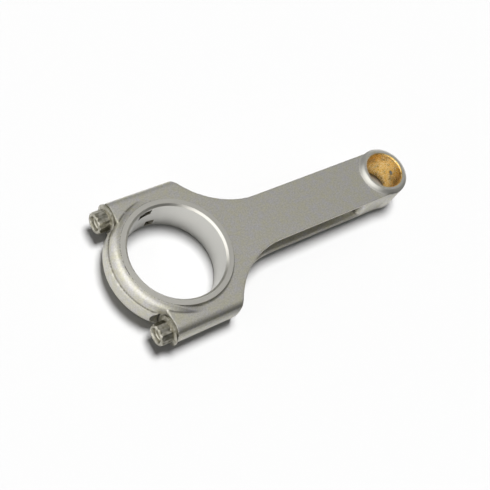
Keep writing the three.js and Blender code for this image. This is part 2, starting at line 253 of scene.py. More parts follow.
def draw(name, sheet, start, *moves):
    """Draws a line of straight stretches and arcs on a sheet. A move is a point or an Arc,
    whose degrees turn anticlockwise from u to v. The piece is left open in edit mode."""
    deselect()
    bpy.ops.mesh.primitive_plane_add(size=MM)
    piece = bpy.context.object
    piece.name = name
    bpy.ops.object.mode_set(mode="EDIT")
    bpy.ops.mesh.merge(type="CENTER")
    here = sheet.place(*start)
    bpy.ops.transform.translate(value=here)
    for move in moves:
        if isinstance(move, Arc):
            centre = sheet.place(*move.centre)
            turn = radians(move.degrees)
            # spin counts its angle clockwise about the axis
            bpy.ops.mesh.spin(steps=move.steps, angle=-turn, center=centre, axis=sheet.normal)
            here = centre + Matrix.Rotation(turn, 3, sheet.normal) @ (here - centre)
        else:
            there = sheet.place(*move)
            bpy.ops.mesh.extrude_region_move(TRANSFORM_OT_translate={"value": there - here})
            here = there
    bpy.ops.mesh.select_all(action="SELECT")
    bpy.ops.mesh.remove_doubles(threshold=MERGE)
    return piece


def raise_outline(piece, reach):
    """Fills a closed outline that is open in edit mode and extrudes it by the vector reach."""
    bpy.ops.mesh.select_all(action="SELECT")
    bpy.ops.mesh.edge_face_add()
    bpy.ops.mesh.extrude_region_move(TRANSFORM_OT_translate={"value": reach})
    return outward(piece)


def turn(piece, centre, axis, steps):
    """Spins a profile that is open in edit mode once round an axis."""
    bpy.ops.mesh.select_all(action="SELECT")
    bpy.ops.mesh.spin(steps=steps, angle=2 * pi, center=centre, axis=axis)
    return outward(piece)


def outward(piece):
    """Merges doubles and turns every face outwards."""
    bpy.ops.mesh.select_all(action="SELECT")
    bpy.ops.mesh.remove_doubles(threshold=MERGE)
    bpy.ops.mesh.normals_make_consistent(inside=False)
    close_edit()
    return piece


def turned_bore(name, x, start, *moves):
    """A round solid or cutter about an upright axis at x."""
    piece = draw(name, bore_section(x), start, *moves)
    return turn(piece, at(x, 0), (0, 0, 1), SPIN_STEPS)


def turned_screw(name, y, start, *moves, steps=SMALL_STEPS):
    """A round solid or cutter about an axis along the rod at y."""
    piece = draw(name, screw_section(y), start, *moves)
    return turn(piece, at(0, y), (1, 0, 0), steps)


def apply_modifier(piece, kind, **settings):
    """Adds one modifier and applies it."""
    pick(piece)
    modifier = piece.modifiers.new(kind.lower(), kind)
    for key, value in settings.items():
        setattr(modifier, key, value)
    bpy.ops.object.modifier_apply(modifier=modifier.name)
    return piece


def combine(piece, tool, operation):
    """Joins, cuts or keeps by a second solid, which is used up."""
    before = len(piece.data.vertices)
    apply_modifier(piece, "BOOLEAN", operation=operation, solver="MANIFOLD", object=tool)
    if len(piece.data.vertices) in (0, before):
        raise RuntimeError(f"{piece.name}: {operation} with {tool.name} left no mark or nothing")
    bpy.data.objects.remove(tool)
    return piece


def join(piece, tool):
    return combine(piece, tool, "UNION")


def cut(piece, tool):
    return combine(piece, tool, "DIFFERENCE")


def keep(piece, tool):
    return combine(piece, tool, "INTERSECT")


def copied(piece, name, shift):
    """A copy of a piece with a mesh of its own, moved by the vector shift."""
    twin = piece.copy()
    twin.data = piece.data.copy()
    twin.name = name
    bpy.context.collection.objects.link(twin)
    edit(twin)
    bpy.ops.transform.translate(value=shift)
    close_edit()
    return twin


def mirrored_down(piece, name):
    """A copy of a piece turned over to below the middle plane."""
    twin = copied(piece, name, (0, 0, 0))
    edit(twin)
    bpy.ops.transform.resize(value=(1, 1, -1), center_override=at(0, 0))
    return outward(twin)


def forge(piece, grain, passes):
    """Gives a sharp blank the soft edges and filled corners of a forging."""
    apply_modifier(piece, "REMESH", mode="VOXEL", voxel_size=grain)
    return apply_modifier(piece, "SMOOTH", factor=0.5, iterations=passes)


def trim(piece, point, normal):
    """Mills a piece flat: what lies beyond the plane, on the normal's side, goes."""
    edit(piece)
    bpy.ops.mesh.bisect(plane_co=point, plane_no=normal, use_fill=True, clear_outer=True)
    close_edit()
    return piece


def finish(piece, body, node, steels, choose=None):
    """Shades a finished piece, gives its faces their finishes and puts it on its body."""
    pick(piece)
    bpy.ops.object.shade_smooth_by_angle(angle=SMOOTH_ANGLE)
    piece.data.materials.clear()
    for steel in steels:
        piece.data.materials.append(steel)
    if choose:
        for face in piece.data.polygons:
            face.material_index = choose(face.center - at(0, 0), face.normal)
    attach(piece, body)
    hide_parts(node)
    deselect()


# ---- Finishes --------------------------------------------------------------------------------


def add(tree, kind, links=None, **settings):
    """Adds a node with its settings. links maps an input to a value or to an output to link."""
    node = tree.nodes.new(kind)
    for key, value in settings.items():
        setattr(node, key, value)
    for key, value in (links or {}).items():
        if isinstance(value, bpy.types.NodeSocket):
            tree.links.new(value, node.inputs[key])
        else:
            node.inputs[key].default_value = value
    return node


MIX_A, MIX_B, MIX_RESULT = 6, 7, 2    # the colour sockets of a Mix node


def blank_finish(name):
    """A new material with nothing in it but the piece's own coordinates."""
    material = bpy.data.materials.new(name)
    material.use_nodes = True
    tree = material.node_tree
    tree.nodes.clear()
    return material, tree, add(tree, "ShaderNodeTexCoord").outputs["Object"]


def shot_peened_steel(colours):
    """Shot-peened forged steel: satin grey with a fine grain, faint warm and cool clouds where
    oil has dried on it, and painted shade darkening its inner corners."""
    material, tree, place = blank_finish("shot_peened_steel")
    # oil dries in clouds about 4 mm across
    clouds = add(tree, "ShaderNodeTexNoise", {"Vector": place, "Scale": 1 / (4 * MM), "Detail": 4.0,
                                              "Roughness": 0.7})
    cloudy = add(tree, "ShaderNodeMapRange", {"Value": clouds.outputs["Fac"], "From Min": 0.36,
                                              "From Max": 0.64})
    stain = add(tree, "ShaderNodeMix", {"Factor": cloudy.outputs["Result"], MIX_A: colours.forging_cool,
                                        MIX_B: colours.forging_warm}, data_type="RGBA")
    # shot leaves dimples of about 0.3 mm; drawn at 0.9 mm so that they show
    dimples = add(tree, "ShaderNodeTexNoise", {"Vector": place, "Scale": 1 / (0.9 * MM), "Detail": 2.0})
    pitted = add(tree, "ShaderNodeMapRange", {"Value": dimples.outputs["Fac"], "From Min": 0.35,
                                              "From Max": 0.65, "To Min": 0.0, "To Max": 0.45})
    tint = add(tree, "ShaderNodeMix", {"Factor": pitted.outputs["Result"],
                                       MIX_A: stain.outputs[MIX_RESULT],
                                       MIX_B: colours.forging_pit}, data_type="RGBA")
    # painted shade: the colour darkens where the surface is hollow, standing in for the shade in inner
    # corners
    shape = add(tree, "ShaderNodeNewGeometry")
    hollow = add(tree, "ShaderNodeMapRange", {"Value": shape.outputs["Pointiness"], "From Min": 0.496,
                                              "From Max": 0.47})
    tint = add(tree, "ShaderNodeMix", {"Factor": hollow.outputs["Result"],
                                       MIX_A: tint.outputs[MIX_RESULT],
                                       MIX_B: colours.forging_crease_shade}, data_type="RGBA")
    rough = add(tree, "ShaderNodeMapRange", {"Value": dimples.outputs["Fac"], "To Min": 0.36,
                                             "To Max": 0.5})
    bump = add(tree, "ShaderNodeBump", {"Height": dimples.outputs["Fac"], "Strength": 0.4,
                                        "Distance": 0.12 * MM})
    shader = add(tree, "ShaderNodeBsdfPrincipled", {
        "Base Color": tint.outputs[MIX_RESULT], "Metallic": 1.0, "Roughness": rough.outputs["Result"],
        "Normal": bump.outputs["Normal"]})
    add(tree, "ShaderNodeOutputMaterial", {"Surface": shader.outputs["BSDF"]})
    return material


def machined_steel(name, colour, centre_x):
    """Bored, ground or milled steel: smoother and brighter than the forging, with fine rings
    left by the tool."""
    material, tree, place = blank_finish(name)
    centred = add(tree, "ShaderNodeVectorMath", {0: place, 1: at(centre_x, 0)}, operation="SUBTRACT")
    flat = add(tree, "ShaderNodeVectorMath", {0: centred.outputs["Vector"], 1: (1, 1, 0)},
               operation="MULTIPLY")
    radius = add(tree, "ShaderNodeVectorMath", {0: flat.outputs["Vector"]}, operation="LENGTH")
    height = add(tree, "ShaderNodeSeparateXYZ", {"Vector": centred.outputs["Vector"]})
    along = add(tree, "ShaderNodeMath", {0: radius.outputs["Value"], 1: height.outputs["Z"]},
                operation="ADD")
    # the tool's feed is about 0.1 mm; drawn at 0.6 mm so that it shows
    rings = add(tree, "ShaderNodeTexNoise", {"W": along.outputs["Value"], "Scale": 1 / (0.6 * MM),
                                             "Detail": 2.0}, noise_dimensions="1D")
    rough = add(tree, "ShaderNodeMapRange", {"Value": rings.outputs["Fac"], "To Min": 0.3,
                                             "To Max": 0.45})
    bump = add(tree, "ShaderNodeBump", {"Height": rings.outputs["Fac"], "Strength": 0.5,
                                        "Distance": 0.05 * MM})
    shader = add(tree, "ShaderNodeBsdfPrincipled", {
        "Base Color": colour, "Metallic": 1.0, "Roughness": rough.outputs["Result"],
        "Normal": bump.outputs["Normal"]})
    add(tree, "ShaderNodeOutputMaterial", {"Surface": shader.outputs["BSDF"]})
    return material


def honed_bronze(colours):
    """Honed bronze: gold, clouded brown where oil has stained it and speckled by the hone."""
    material, tree, place = blank_finish("honed_bronze")
    # the stains are about 5 mm across
    clouds = add(tree, "ShaderNodeTexNoise", {"Vector": place, "Scale": 1 / (5 * MM), "Detail": 3.0,
                                              "Roughness": 0.65})
    stained = add(tree, "ShaderNodeMapRange", {"Value": clouds.outputs["Fac"], "From Min": 0.34,
                                               "From Max": 0.52})
    stain = add(tree, "ShaderNodeMix", {"Factor": stained.outputs["Result"],
                                        MIX_A: colours.bronze_dark, MIX_B: colours.bronze},
                data_type="RGBA")
    # the hone's scratches are finer than 0.1 mm; drawn at 0.7 mm so that they show
    grit = add(tree, "ShaderNodeTexNoise", {"Vector": place, "Scale": 1 / (0.7 * MM), "Detail": 2.0,
                                            "Roughness": 0.7})
    speckled = add(tree, "ShaderNodeMapRange", {"Value": grit.outputs["Fac"], "From Min": 0.42,
                                                "From Max": 0.66})
    tint = add(tree, "ShaderNodeMix", {"Factor": speckled.outputs["Result"],
                                       MIX_A: stain.outputs[MIX_RESULT],
                                       MIX_B: colours.bronze_pale}, data_type="RGBA")
    bump = add(tree, "ShaderNodeBump", {"Height": grit.outputs["Fac"], "Strength": 0.5,
                                        "Distance": 0.08 * MM})
    shader = add(tree, "ShaderNodeBsdfPrincipled", {
        "Base Color": tint.outputs[MIX_RESULT], "Metallic": 1.0, "Roughness": 0.42,
        "Normal": bump.outputs["Normal"]})
    add(tree, "ShaderNodeOutputMaterial", {"Surface": shader.outputs["BSDF"]})
    return material


def oiled_alloy_steel(name, colour, film_and_shade_colour, roughness):
    """Turned and heat-treated alloy steel with a thin film of oil that darkens it in patches.
    In the tang slots the same darker colours and patches are painted shade.
    """
    material, tree, place = blank_finish(name)
    # the film gathers in patches about 2.5 mm across; in the tang slots the patches are painted shade
    film = add(tree, "ShaderNodeTexNoise", {"Vector": place, "Scale": 1 / (2.5 * MM), "Detail": 3.0})
    patchy = add(tree, "ShaderNodeMapRange", {"Value": film.outputs["Fac"], "From Min": 0.4,
                                              "From Max": 0.6})
    tint = add(tree, "ShaderNodeMix", {"Factor": patchy.outputs["Result"], MIX_A: film_and_shade_colour,
                                       MIX_B: colour}, data_type="RGBA")
    shader = add(tree, "ShaderNodeBsdfPrincipled", {
        "Base Color": tint.outputs[MIX_RESULT], "Metallic": 1.0, "Roughness": roughness})
    add(tree, "ShaderNodeOutputMaterial", {"Surface": shader.outputs["BSDF"]})
    return material


def floor_paint(colours):
    """Matt painted studio floor: pale and without gloss. In reflections only, it turns dark beyond
    the side that the lower channel faces: a painted dark reflection that shades the metal's sides there."""
    material, tree, place = blank_finish("matt_floor_paint")
    beyond = add(tree, "ShaderNodeVectorMath", {0: place, 1: FLOOR_FAR_SIDE}, operation="DOT_PRODUCT")
    away = add(tree, "ShaderNodeMapRange", {"Value": beyond.outputs["Value"],
                                            "From Min": FLOOR_NEAR, "From Max": FLOOR_FAR})
    ray = add(tree, "ShaderNodeLightPath")
    in_metal = add(tree, "ShaderNodeMath", {0: away.outputs["Result"], 1: ray.outputs["Is Glossy Ray"]},
                   operation="MULTIPLY")
    tint = add(tree, "ShaderNodeMix", {"Factor": in_metal.outputs["Value"], MIX_A: colours.floor,
                                       MIX_B: colours.floor_reflected_shade}, data_type="RGBA")
    shader = add(tree, "ShaderNodeBsdfPrincipled", {
        "Base Color": tint.outputs[MIX_RESULT], "Roughness": 0.9, "Specular IOR Level": 0.1})
    add(tree, "ShaderNodeOutputMaterial", {"Surface": shader.outputs["BSDF"]})
    return material


# ---- Rod -------------------------------------------------------------------------------------

FORGING_GRAIN = 0.55 * MM     # mesh spacing that rounds the forging's edges
FORGING_PASSES = 4            # and how often they are smoothed
TURNED_LIP = 0.08 * MM        # a cove dips this far into the forging, for a clean line
FACING_STOCK = 0.4 * MM       # forged on the eye's faces, then milled off
BLANK_HALF = 14 * MM          # taller than every face of the rod
ROD_TANG_X = 0.5 * MM         # where the tang cutter sinks into the fork
NECK_STEPS = 28
END_STEPS = 48
RUNOUT_STEPS = 72
BLUNT_STEPS = 16


def rod_blank(sizes):
    """The rod seen from above, raised to a plate: fork, neck, beam and round end."""
    beam = sizes.beam_width / 2
    neck_x = sizes.crank_bore / 2 + sizes.neck_length
    neck_y = beam + sizes.neck_radius
    corner_y = SHOULDER_Y - sizes.corner_round
    reach = sizes.neck_radius + sizes.corner_round
    corner_x = neck_x - sqrt(reach ** 2 - (neck_y - corner_y) ** 2)
    sweep = 90 - degrees(atan2(neck_y - corner_y, neck_x - corner_x))
    piece = draw("rod_forging_model", plan(-BLANK_HALF), (-PAST, SHOULDER_Y),
                 (corner_x, SHOULDER_Y),
                 Arc((corner_x, corner_y), -sweep, FILLET_STEPS),
                 Arc((neck_x, neck_y), sweep, NECK_STEPS),
                 (PIN_X, beam),
                 Arc((PIN_X, 0), -180, END_STEPS),
                 (neck_x, -beam),
                 Arc((neck_x, -neck_y), sweep, NECK_STEPS),
                 Arc((corner_x, -corner_y), -sweep, FILLET_STEPS),
                 (-PAST, -SHOULDER_Y),
                 (-PAST, SHOULDER_Y))
    return raise_outline(piece, (0, 0, 2 * BLANK_HALF))


def shoulder_bar(sizes, x0, x1):
    """A long bar with the section of the bolt shoulders: flat faces, rounded corners and sides
    that bulge a little."""
    r, top = sizes.shoulder_round, sizes.thickness / 2
    draft = sizes.shoulder_draft
    corner_z = top - r
    joint_z = corner_z + r * sin(draft)
    bulge_r = joint_z / sin(draft)
    joint_y = SHOULDER_Y - bulge_r * (1 - cos(draft))
    corner_y = joint_y - r * cos(draft)
    side, corner = 2 * degrees(draft), 90 - degrees(draft)
    piece = draw("shoulder_bar", across_rod(x0), (joint_y, -joint_z),
                 Arc((SHOULDER_Y - bulge_r, 0), side, BULGE_STEPS),
                 Arc((corner_y, corner_z), corner, EDGE_STEPS),
                 (-corner_y, top),
                 Arc((-corner_y, corner_z), corner, EDGE_STEPS),
                 Arc((bulge_r - SHOULDER_Y, 0), side, BULGE_STEPS),
                 Arc((-corner_y, -corner_z), corner, EDGE_STEPS),
                 (corner_y, -top),
                 Arc((corner_y, -corner_z), corner, EDGE_STEPS))
    return raise_outline(piece, (x1 - x0, 0, 0))


def eye_boss(sizes):
    """The eye's two raised faces, each on a cone with a hollow fillet at its foot."""
    top, foot = sizes.eye_width / 2, sizes.thickness / 2
    tilt, fillet = sizes.eye_cone, sizes.eye_fillet
    face_r = BUSH_R + sizes.eye_rim
    cone_z = foot + fillet * (1 - cos(tilt))
    cone_r = face_r + (top - cone_z) / tan(tilt)
    foot_r = cone_r + fillet * sin(tilt)
    peak_r, peak_z = face_r - FACING_STOCK / tan(tilt), top + FACING_STOCK
    return turned_bore("eye_boss", PIN_X, (0, peak_z), (peak_r, peak_z), (cone_r, cone_z),
                       Arc((foot_r, foot + fillet), degrees(tilt), FILLET_STEPS),
                       (foot_r, -foot),
                       Arc((foot_r, -foot - fillet), degrees(tilt), FILLET_STEPS),
                       (peak_r, -peak_z), (0, -peak_z))


def blank_cylinder(name, x, radius):
    """An upright cylinder as tall as the rod's blank."""
    return turned_bore(name, x, (0, -BLANK_HALF), (radius, -BLANK_HALF), (radius, BLANK_HALF),
                       (0, BLANK_HALF))


def side_channel(sizes, side):
    """A milled side channel: a long round run-out into the fork, and a blunt end at the eye
    that rolls over to the rod's side."""
    floor, run, blunt = sizes.web / 2, sizes.channel_runout, sizes.channel_end
    lip = sizes.beam_width / 2 - floor - blunt
    start_x = sizes.crank_bore / 2 + sizes.channel_from_bore
    end_x = PIN_X - sizes.channel_from_pin
    half = sizes.channel_height / 2
    open_y = floor + 2 * run
    piece = draw("side_channel", plan(-half), (start_x, side * open_y),
                 Arc((start_x, side * (floor + run)), side * 180, RUNOUT_STEPS),
                 (end_x - blunt, side * floor),
                 Arc((end_x - blunt, side * (floor + blunt)), side * 90, BLUNT_STEPS),
                 Arc((end_x + lip, side * (floor + blunt)), -side * 90, BULGE_STEPS),
                 (end_x + lip, side * open_y), (start_x, side * open_y))
    return raise_outline(piece, (0, 0, 2 * half))


def add_thrust_rings(piece, sizes):
    """Joins the turned rings of both thrust faces, each with a cove down to the forging."""
    face_r = sizes.crank_bore / 2 + sizes.thrust_rim
    core_r = sizes.crank_bore / 2 - PAST
    cove, foot = sizes.thrust_cove, sizes.thickness / 2 - TURNED_LIP
    inside = foot - PAST
    ring = turned_bore("thrust_ring", 0, (core_r, BIG_HALF), (face_r, BIG_HALF),
                       (face_r, foot + cove), Arc((face_r + cove, foot + cove), 90, EDGE_STEPS),
                       (face_r + cove, inside), (core_r, inside), (core_r, BIG_HALF))
    lower_ring = mirrored_down(ring, "lower_thrust_ring")
    join(piece, ring)
    join(piece, lower_ring)


def crank_bore_cutter(sizes):
    """Bores the housing and chamfers both its ends."""
    r, c, h = sizes.crank_bore / 2, sizes.bore_chamfer, BIG_HALF
    return turned_bore("crank_bore_cutter", 0, (0, -h - c), (r + 2 * c, -h - c),
                       (r, -h + c), (r, h - c), (r + 2 * c, h + c), (0, h + c))


def drill(name, y, radius, x0, x1, steps=SMALL_STEPS):
    """A straight drill along the rod."""
    return turned_screw(name, y, (x0, 0), (x0, radius), (x1, radius), (x1, 0), steps=steps)


def oil_drill(sizes):
    """The drill that comes in through the rod's end, a little above the middle plane."""
    piece = drill("oil_drill", 0, sizes.oil_hole / 2, PIN_X, PIN_X + 2 * EYE_R, OIL_HOLE_STEPS)
    edit(piece)
    bpy.ops.transform.translate(value=(0, 0, sizes.oil_rise))
    close_edit()
    return piece


def tang_cutter(sizes, x, side):
    """The small milling cutter that sinks a tang slot into the bore wall on the +Y side."""
    r = sizes.tang_cutter
    near = side * (BIG_HALF - sizes.tang_inset)
    far = near - side * sizes.tang_width
    wall = sqrt((sizes.crank_bore / 2) ** 2 - x ** 2)
    y = wall + sizes.tang_depth - r
    piece = draw("tang_cutter", plan(min(near, far)), (x + r, y), Arc((x, y), 360, SMALL_STEPS))
    return raise_outline(piece, (0, 0, sizes.tang_width))


def make_rod(sizes, screws):
    """Forges the rod, then machines its bores, faces and holes."""
    rod = rod_blank(sizes)
    join(rod, blank_cylinder("eye_wall", PIN_X, EYE_R))
    section = shoulder_bar(sizes, -2 * PAST, PIN_X + 2 * EYE_R)
    keep(rod, join(section, eye_boss(sizes)))
    for side in (1, -1):
        cut(rod, side_channel(sizes, side))
    forge(rod, FORGING_GRAIN, FORGING_PASSES)
    for side in (1, -1):
        trim(rod, at(0, 0, side * sizes.eye_width / 2), (0, 0, side))
    add_thrust_rings(rod, sizes)
    trim(rod, at(0, 0), (-1, 0, 0))
    cut(rod, crank_bore_cutter(sizes))
    cut(rod, blank_cylinder("eye_bore", PIN_X, BUSH_R))
    hole_r = screws.thread / 2 + screws.hole_clearance
    hole_end = sizes.crank_bore / 2 + sizes.neck_length
    for side in (1, -1):
        cut(rod, drill("tapping_drill", side * SCREW_Y, hole_r, -PAST, hole_end))
        cut(rod, drill("sleeve_counterbore", side * SCREW_Y, SLEEVE_R, -PAST, SLEEVE_HALF))
    cut(rod, tang_cutter(sizes, ROD_TANG_X, -1))
    return cut(rod, oil_drill(sizes))


FORGED, BORED, GROUND, SLOTTED, MILLED = range(5)     # a rod's or cap's finishes, in slot order
ON_FACE = 0.02 * MM           # within this of a flat cut is on it
OFF_FACE = 0.1 * MM           # and further than this from a surface is clear of it
OFF_FORGING = 0.2 * MM        # what stands this far above the forging is turned
SLOT_MARGIN = 1.5 * MM        # the tang slots stay this far inside the thrust faces
UPRIGHT = 0.5                 # a face whose normal rises less than this is a wall


def machining_at(sizes, place, normal):
    """BORED inside the crank bore, SLOTTED in its tang slots, GROUND on its thrust faces and
    FORGED elsewhere."""
    bore_r = sizes.crank_bore / 2
    face_r = bore_r + sizes.thrust_rim
    r, height = place.xy.length, abs(place.z)
    # the tang slots' finish is darker: painted shade for the shade inside them
    if OFF_FACE < r - bore_r < face_r - bore_r and height < BIG_HALF - SLOT_MARGIN:
        return SLOTTED
    if r < bore_r + sizes.bore_chamfer and abs(normal.z) < UPRIGHT:
        return BORED
    if r < face_r + OFF_FACE and height > sizes.thickness / 2 + OFF_FORGING:
        return GROUND
    return FORGED


def rod_finish_at(sizes):
    """Tells how each face of the rod was made."""

    def choose(place, normal):
        pin_r = Vector((place.x - PIN_X, place.y)).length
        if BUSH_R < pin_r < EYE_R + sizes.eye_fillet and abs(place.z) > sizes.thickness / 2 + OFF_FACE:
            return MILLED
        if place.x < ON_FACE:
            return GROUND
        return machining_at(sizes, place, normal)

    return choose


# ---- Cap -------------------------------------------------------------------------------------

CAP_GRAIN = 0.42 * MM
CAP_PASSES = 6
CAP_TANG_X = -3.2 * MM        # where the tang cutter sinks into the cap
SEAT_STOCK = 0.3 * MM         # forged on the screw seats, then milled off
FADE_START = -0.5 * MM        # from here the shoulders rise out of the flat of the fork
FADE_RUN = 21 * MM            # and reach their full height this much further on
ROLL_STEPS = 14


def cap_round(sizes, cap):
    """The cap's arch: shoulders rolling over from the thrust face to the wall, along a quarter
    of an ellipse, and the rib round the middle."""
    thrust_r = sizes.crank_bore / 2 + sizes.thrust_rim
    wall_r = sizes.crank_bore / 2 + cap.wall
    rib = cap.rib_width / 2
    high = BIG_HALF - cap.step
    angles = [i * pi / 2 / ROLL_STEPS for i in range(ROLL_STEPS + 1)]
    roll = [(thrust_r + (wall_r - thrust_r) * sin(a), rib + (high - rib) * cos(a)) for a in angles]
    lower_roll = [(r, -z) for r, z in reversed(roll)]
    core_r = sizes.crank_bore / 2 - PAST
    return turned_bore("cap_round", 0, (core_r, high), *roll, (RIB_R, rib),
                       (RIB_R, -rib), *lower_roll, (core_r, -high), (core_r, high))


def shoulder_fade(sizes, side):
    """Lets the cap's shoulders sink into the flat of the fork, along two arcs."""
    foot, past = side * sizes.thickness / 2, side * (BIG_HALF + PAST)
    rise = BIG_HALF - sizes.thickness / 2
    sweep = 2 * degrees(atan2(rise, FADE_RUN))
    r = side * FADE_RUN / 2 / sin(radians(sweep))
    end = FADE_START - FADE_RUN
    width = SHOULDER_Y + PAST
    sheet = Sheet(lambda u, v: at(u, -width, v), Vector((0, -1, 0)))
    piece = draw("shoulder_fade", sheet, (2 * PAST, foot), (FADE_START, foot),
                 Arc((FADE_START, foot + r), -side * sweep, BULGE_STEPS),
                 Arc((end, side * BIG_HALF - r), side * sweep, BULGE_STEPS),
                 (end, past), (2 * PAST, past), (2 * PAST, foot))
    return raise_outline(piece, (0, 2 * width, 0))


def spotface_cutter(cap, side):
    """Mills a flat seat for a screw's flange, with a filleted foot."""
    r, f = FLANGE_R + cap.seat_clearance, cap.seat_fillet
    return turned_screw("spotface_cutter", side * SCREW_Y, (-cap.seat, 0), (-cap.seat, r - f),
                        Arc((-cap.seat - f, r - f), 90, FILLET_STEPS),
                        (-cap.seat - 4 * PAST, r), (-cap.seat - 4 * PAST, 0))


def make_cap(sizes, cap, screws):
    """Forges the cap, then machines its bore, faces, seats and holes."""
    blank = shoulder_bar(sizes, -cap.seat - SEAT_STOCK, PAST)
    blank.name = "bearing_cap_model"
    join(blank, cap_round(sizes, cap))
    for side in (1, -1):
        cut(blank, shoulder_fade(sizes, side))
    trim(blank, at(PAST, 0), (1, 0, 0))
    forge(blank, CAP_GRAIN, CAP_PASSES)
    add_thrust_rings(blank, sizes)
    trim(blank, at(PARTING_X, 0), (1, 0, 0))
    cut(blank, crank_bore_cutter(sizes))
    hole_r = screws.thread / 2 + screws.hole_clearance
    for side in (1, -1):
        cut(blank, spotface_cutter(cap, side))
        cut(blank, drill("clearance_drill", side * SCREW_Y, hole_r, -2 * cap.seat, PAST))
        cut(blank, drill("sleeve_counterbore", side * SCREW_Y, SLEEVE_R, -SLEEVE_HALF, PAST))
    return cut(blank, tang_cutter(sizes, CAP_TANG_X, 1))


def cap_finish_at(sizes, cap):
    """Tells how each face of the cap was made."""

    def choose(place, normal):
        if place.x > PARTING_X - ON_FACE or abs(place.x + cap.seat) < ON_FACE:
            return GROUND
        return machining_at(sizes, place, normal)

    return choose


# ---- Bushing, sleeves and screws -------------------------------------------------------------

BUSH_WALL = 0.7 * MM
BUSH_CHAMFER = 0.45 * MM
SLEEVE_WALL = 0.45 * MM
SLEEVE_CHAMFER = 0.15 * MM
TO_RIGHT = Vector((0, -2 * SCREW_Y, 0))      # from the left screw's axis to the right one's
FLANGE_SEAT = 22.12 * MM      # parting face to the underside of a screw's flange
FLANGE_RIM = 0.25 * MM        # easing of the flange's edges
FLANGE_BEVEL = 0.5 * MM       # radial, round the top of the flange
FLANGE_DROP = 0.2 * MM        # the flange's top falls this much to its edge
NECK_RISE = 0.3 * MM          # the fillet between flange and head
NECK_FLARE = 0.4 * MM
SHANK_EASE = 0.5 * MM         # under the flange
TIP_CHAMFER = 0.6 * MM
CROWN_CHAMFER = 0.7 * MM      # along the screw
CROWN_SLOPE = 1.3             # radial cut of that chamfer, for each unit along
POINT_EASE = 0.05 * MM        # the twelve points are blunted by this
DISH_EASE = 0.3 * MM          # at the dish's mouth
DISH_FILLET = 1.0 * MM        # round its floor
THREAD_DEPTH = 0.61           # crest to root, in pitches
CREST_FROM, CREST_TO = 0.44, 0.56            # where a tooth's flat crest lies, in pitches
THREAD_EASE = 0.9             # chamfer at both ends of the thread, in pitches
THREAD_STEPS = 48             # facets of one turn


def make_bushing(sizes):
    """A thin bronze tube with chamfered mouths and the oil hole through its wall."""
    r1, h, c = BUSH_R, BUSH_HALF, BUSH_CHAMFER
    r0 = r1 - BUSH_WALL
    bush = turned_bore("pin_bushing_model", PIN_X, (r0, -h + c), (r0 + c, -h), (r1, -h),
                       (r1, h), (r0 + c, h), (r0, h - c), (r0, -h + c))
    return cut(bush, oil_drill(sizes))


def make_sleeve(name):
    """A ground dowel sleeve with chamfered ends, in the left screw's hole."""
    r1, h, c = SLEEVE_R, SLEEVE_HALF, SLEEVE_CHAMFER
    r0 = r1 - SLEEVE_WALL
    return turned_screw(name, SCREW_Y, (-h, r0), (-h, r1 - c), (-h + c, r1), (h - c, r1),
                        (h, r1 - c), (h, r0), (-h, r0))


def screw_body(screws, name):
    """Flange, plain shank and the root of the thread, all turned."""
    flange_top = -FLANGE_SEAT - screws.flange
    waist, flats = screws.waist / 2, screws.flats / 2
    return turned_screw(name, SCREW_Y, (flange_top - MM, 0), (flange_top - MM, flats),
                        (flange_top - NECK_RISE, flats + NECK_FLARE),
                        (flange_top + FLANGE_DROP, FLANGE_R - FLANGE_BEVEL),
                        (flange_top + FLANGE_DROP + FLANGE_RIM, FLANGE_R),
                        (-FLANGE_SEAT - FLANGE_RIM, FLANGE_R), (-FLANGE_SEAT, FLANGE_R - FLANGE_RIM),
                        (-FLANGE_SEAT, waist + SHANK_EASE), (-FLANGE_SEAT + SHANK_EASE, waist),
                        (TIP_X - TIP_CHAMFER, waist), (TIP_X, waist - TIP_CHAMFER), (TIP_X, 0))


def screw_head(screws):
    """The 12-point head: two hexagons, their corners eased, and a chamfered crown."""
    outer = screws.flats / 2 / cos(pi / 6)
    inner = screws.flats / 2 / cos(pi / 12)
    radii = [outer if i % 2 == 0 else inner for i in range(24)]
    points = [(SCREW_Y + r * cos(i * pi / 12), r * sin(i * pi / 12)) for i, r in enumerate(radii)]
    head = draw("screw_head", across_rod(HEAD_X), *points, points[0])
    raise_outline(head, (-FLANGE_SEAT - screws.flange - HEAD_X + NECK_FLARE, 0, 0))
    crown, point_r, base = CROWN_CHAMFER, outer - POINT_EASE, -FLANGE_SEAT
    envelope = turned_screw("crown_chamfer", SCREW_Y, (HEAD_X, 0), (HEAD_X, outer - CROWN_SLOPE * crown),
                            (HEAD_X + crown, point_r), (base, point_r), (base, 0))
    return keep(head, envelope)


